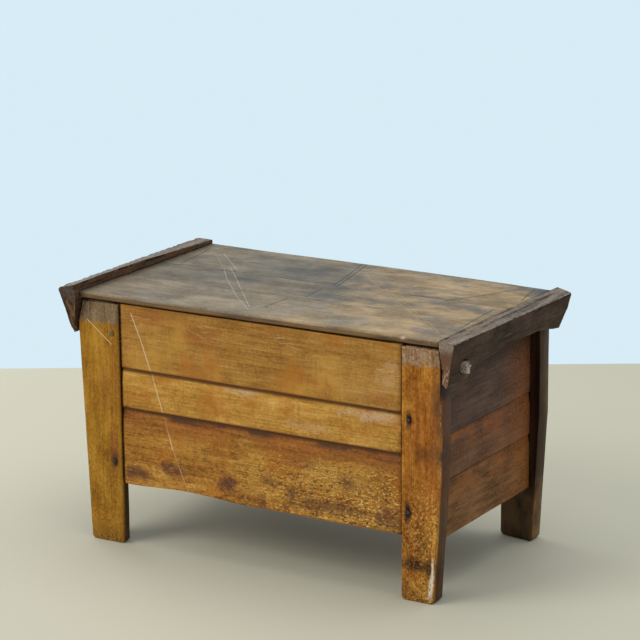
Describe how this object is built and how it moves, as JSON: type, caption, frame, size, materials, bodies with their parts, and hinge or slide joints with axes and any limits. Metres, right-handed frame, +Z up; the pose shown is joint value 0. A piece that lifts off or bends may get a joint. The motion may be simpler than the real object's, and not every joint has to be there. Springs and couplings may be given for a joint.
{
  "type": "plank chest",
  "caption": "Rustic plank chest on post feet: split boards let into the posts and a wedge-cleated lid that swings up on wooden pins; stores clothes and household goods.",
  "frame": {"origin": "on the floor below the middle of the chest, midway between the posts' outer faces", "axes": "+X along the chest, to the right of someone facing its front; +Y from front to rear; +Z up"},
  "size_m": [0.8545, 0.4988, 0.5167],
  "materials": {
    "post_wood": "worn honey-amber varnish on split wood",
    "front_wood": "worn amber to red-brown varnish, scratched",
    "side_wood": "dark red-brown, satin",
    "floor_wood": "bare wood, matt",
    "lid_wood": "weathered grey-brown, satin, scratched",
    "cleat_wood": "dark weathered wood, rough on top",
    "peg_wood": "pale dry wood, matt",
    "nail_iron": "dark hand-made iron"
  },
  "bodies": {
    "chest": {"front_left_post": "post_wood", "front_right_post": "post_wood", "rear_left_post": "post_wood", "rear_right_post": "post_wood", "front_top_board": "front_wood", "front_middle_board": "front_wood", "front_bottom_board": "front_wood", "rear_top_board": "front_wood", "rear_middle_board": "front_wood", "rear_bottom_board": "front_wood", "right_top_board": "side_wood", "right_middle_board": "side_wood", "right_bottom_board": "side_wood", "left_top_board": "side_wood", "left_middle_board": "side_wood", "left_bottom_board": "side_wood", "floor_front_board": "floor_wood", "floor_middle_board": "floor_wood", "floor_rear_board": "floor_wood", "left_hinge_pin": "peg_wood", "right_hinge_pin": "peg_wood", "front_left_upper_nail": "nail_iron", "front_left_lower_nail": "nail_iron", "front_right_upper_nail": "nail_iron", "front_right_lower_nail": "nail_iron", "rear_left_upper_nail": "nail_iron", "rear_left_lower_nail": "nail_iron", "rear_right_upper_nail": "nail_iron", "rear_right_lower_nail": "nail_iron"},
    "lid": {"lid_front_board": "lid_wood", "lid_middle_board": "lid_wood", "lid_rear_board": "lid_wood", "left_cleat": "cleat_wood", "right_cleat": "cleat_wood"},
    "right_peg": {"right_keeper_peg": "peg_wood"},
    "left_peg": {"left_keeper_peg": "peg_wood"}
  },
  "joints": [
    {"name": "lid_hinge", "type": "hinge", "parent": "chest", "child": "lid", "pos_m": [0, 0.1985, 0.452], "axis": [-1, 0, 0], "range_deg": [0, 100]},
    {"name": "right_peg_slide", "type": "slide", "parent": "lid", "child": "right_peg", "axis": [1, 0, 0], "range_m": [0, 0.034]},
    {"name": "left_peg_slide", "type": "slide", "parent": "lid", "child": "left_peg", "axis": [-1, 0, 0], "range_m": [0, 0.034]}
  ]
}
